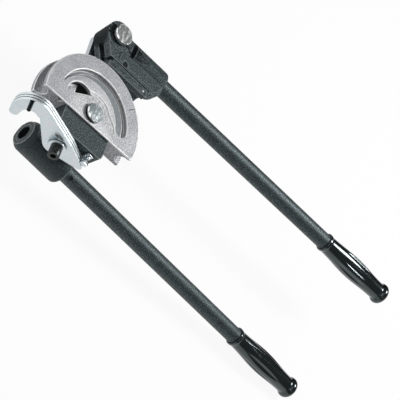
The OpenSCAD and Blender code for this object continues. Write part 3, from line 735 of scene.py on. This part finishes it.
def soften(node, width, flat_faces):
    """Breaks a CAD node's sharp edges with modifiers."""
    piece = nodes[node]
    weld = piece.modifiers.new("weld", "WELD")
    weld.merge_threshold = WELD_REACH
    bevel = piece.modifiers.new("edges", "BEVEL")
    bevel.width = width
    bevel.segments = EDGE_SEGMENTS
    bevel.limit_method = "ANGLE"
    bevel.angle_limit = SHARP_ANGLE
    bevel.harden_normals = not flat_faces
    if flat_faces:
        piece.modifiers.new("flat", "WEIGHTED_NORMAL").weight = FLAT_WEIGHT


def arc_points(centre, radius, start, end, steps):
    """(station, radius) points round a centre, from one angle to another in degrees."""
    turns = [radians(start + (end - start) * i / steps) for i in range(steps + 1)]
    return [(centre[0] + radius * sin(t), centre[1] + radius * cos(t)) for t in turns]


def grip_outline(length):
    """(station, radius) points of a grip's collar, swelling and bulb, and the rows that flutes cut."""
    edge_r = COLLAR_R - COLLAR_EDGE
    collar = arc_points((COLLAR_EDGE, edge_r), COLLAR_EDGE, -90, 0, COLLAR_STEPS)
    collar += arc_points((COLLAR_L - COLLAR_EDGE, edge_r), COLLAR_EDGE, 0, COLLAR_BACK, COLLAR_STEPS)
    swell_l = length - BULB_L - COLLAR_L
    shares = [i / SWELL_STEPS for i in range(1, SWELL_STEPS)]
    swell = [(COLLAR_L + swell_l * t, NECK_R + (SWELL_R - NECK_R) * sin(pi * t) ** 2) for t in shares]
    bulb_r = BULB_L / 2
    bulb = arc_points((length - bulb_r, SWELL_R - bulb_r), bulb_r, BULB_FRONT, 90, BULB_STEPS)
    return collar + swell + bulb, range(len(collar), len(collar) + len(swell))


def fluted(radius, angle, turn):
    """Radius of the grip where a flute may cut it, with a soft edge."""
    pitch = 2 * pi / FLUTES
    off = (angle - turn + pitch / 2) % pitch - pitch / 2
    centre = SWELL_R - FLUTE_DEPTH + FLUTE_R
    if abs(off) >= asin(FLUTE_R / centre):
        return radius
    cut = centre * cos(off) - sqrt(FLUTE_R ** 2 - (centre * sin(off)) ** 2)
    share = max(0.0, min(1.0, 0.5 + 0.5 * (radius - cut) / FLUTE_BLEND))
    return radius + (cut - radius) * share - FLUTE_BLEND * share * (1 - share)


def grip_faces(rows, last_outside):
    """Faces between a grip's rows. Its outside and its bore each close onto a point after the rows."""
    tip = rows * GRIP_SIDES
    faces = []
    for row in range(rows):
        after = (row + 1) % rows
        for i in range(GRIP_SIDES):
            j = (i + 1) % GRIP_SIDES
            a, b = row * GRIP_SIDES + j, row * GRIP_SIDES + i
            c, d = after * GRIP_SIDES + i, after * GRIP_SIDES + j
            if row == last_outside:
                faces.append((a, b, tip))
                faces.append((c, d, tip + 1))
            else:
                faces.append((a, b, c, d))
    return faces


def grip(node, axis, turn):
    """A fluted grip of revolution on a handle's axis, with a bore for the tube."""
    point, along = axis
    stations = [(v.co - point).dot(along) for v in nodes[node].data.vertices]
    start, length = min(stations), max(stations) - min(stations)
    outside, flute_rows = grip_outline(length)
    bore_end = length - GRIP_END
    rows = outside + [(bore_end, GRIP_BORE_R), (0.0, GRIP_BORE_R)]
    up = Vector((0, 0, 1)).cross(along).normalized()
    side = up.cross(along)
    places = []
    for row, (station, radius) in enumerate(rows):
        for i in range(GRIP_SIDES):
            angle = 2 * pi * i / GRIP_SIDES
            r = fluted(radius, angle, turn) if row in flute_rows else radius
            places.append(point + along * (start + station) + r * (cos(angle) * side + sin(angle) * up))
    places += [point + along * (start + station) for station in (length, bore_end)]
    mesh = bpy.data.meshes.new(node + "_moulding")
    mesh.from_pydata(places, [], grip_faces(len(rows), len(outside) - 1))
    stand_in(add_object(node + "_moulding", mesh), node)


# Castings with soft edges, and grips on their handles' axes
for name, (voxel, rounding) in CASTINGS.items():
    casting(name, voxel, rounding)
for name, (axis, turn) in GRIPS.items():
    grip(name, axis, turn)

# Machined, turned and stamped pieces keep their CAD shape
for name in nodes:
    if name in CASTINGS or name in GRIPS:
        continue
    dress(nodes[name], finish_of(name))
    if not name.endswith("_tube"):
        width = PLATE_EDGE if name.endswith("_plate") else MACHINED_EDGE
        soften(name, width, name.endswith("_bolt"))


def flat_face(name, corners):
    mesh = bpy.data.meshes.new(name)
    mesh.from_pydata(corners, [], [(0, 1, 2, 3)])
    return add_object(name, mesh)


def floor_material():
    """White to rays that show the background, with part of the shadow that falls on it."""
    material = bpy.data.materials.new("floor")
    material.use_nodes = True
    tree = material.node_tree
    tree.nodes.clear()
    path = add_node(tree, "ShaderNodeLightPath", {})
    rays = [path.outputs[name] for name in ("Is Camera Ray", "Is Glossy Ray", "Is Transmission Ray")]
    shown = combine(tree, "MAXIMUM", *rays)
    share = combine(tree, "MULTIPLY", shown, 1 - SHADOW_SHARE)
    matt = add_node(tree, "ShaderNodeBsdfDiffuse", {"Color": FLOOR_GREY}).outputs[0]
    glow = add_node(tree, "ShaderNodeEmission", {"Color": WHITE}).outputs[0]
    mixed = add_node(tree, "ShaderNodeMixShader", {0: share, 1: matt, 2: glow}).outputs[0]
    add_node(tree, "ShaderNodeOutputMaterial", {"Surface": mixed})
    return material


def floor():
    half = FLOOR_SIZE / 2
    z = cad_low.z - FLOOR_GAP
    plane = flat_face("floor", [(-half, -half, z), (half, -half, z), (half, half, z), (-half, half, z)])
    plane.data.materials.append(floor_material())


def dark_card(name):
    """A black card beyond the picture, which only light and reflections meet."""
    (left, right), (foot, top) = CARD_X, CARD_Z
    corners = [(left, CARD_Y, foot), (right, CARD_Y, foot), (right, CARD_Y, top), (left, CARD_Y, top)]
    card = flat_face(name, corners)
    card.visible_camera = False
    card.data.materials.append(Surface(name, {"Base Color": CARD_BLACK, "Roughness": 1.0}).material)


def world():
    """A pale horizon that meets the floor, under a dimmer ceiling."""
    made = bpy.data.worlds.new("studio")
    made.use_nodes = True
    tree = made.node_tree
    toward = add_node(tree, "ShaderNodeTexCoord", {}).outputs["Generated"]
    height = add_node(tree, "ShaderNodeSeparateXYZ", {"Vector": toward}).outputs["Z"]
    inputs = {"Value": height, "From Min": HORIZON_TOP, "From Max": 0.0, "To Min": CEILING_LIGHT}
    light = add_node(tree, "ShaderNodeMapRange", inputs, interpolation_type="SMOOTHSTEP").outputs["Result"]
    background = tree.nodes["Background"]
    feed(tree, background.inputs["Strength"], light)
    feed(tree, background.inputs["Color"], WHITE)
    bpy.context.scene.world = made


def softbox(name, at, aim, size, power):
    """A rectangular lamp that faces a point."""
    lamp = bpy.data.lights.new(name, "AREA")
    lamp.shape = "RECTANGLE"
    lamp.size, lamp.size_y = size
    lamp.energy = power
    holder = add_object(name, lamp)
    holder.location = at
    holder.rotation_euler = (aim - Vector(at)).to_track_quat("-Z", "Y").to_euler()


def camera():
    """A camera where the photograph was taken, square to its frame."""
    made = bpy.data.cameras.new("camera")
    made.sensor_width = SENSOR
    made.lens = SENSOR * FOCAL_PX / FRAME_PX
    holder = add_object("camera", made)
    back = CAMERA_RIGHT.cross(CAMERA_UP)
    turn = Matrix((CAMERA_RIGHT, CAMERA_UP, back)).transposed()
    holder.matrix_world = Matrix.Translation(CAMERA_AT) @ turn.to_4x4()
    bpy.context.scene.camera = holder


# Stage, light and camera
middle = (cad_low + cad_high) / 2
floor()
world()
for name, (at, size, power) in LAMPS.items():
    softbox(name, at, middle, size, power)
dark_card("side_card")
camera()
bpy.context.scene.view_settings.view_transform = "Standard"
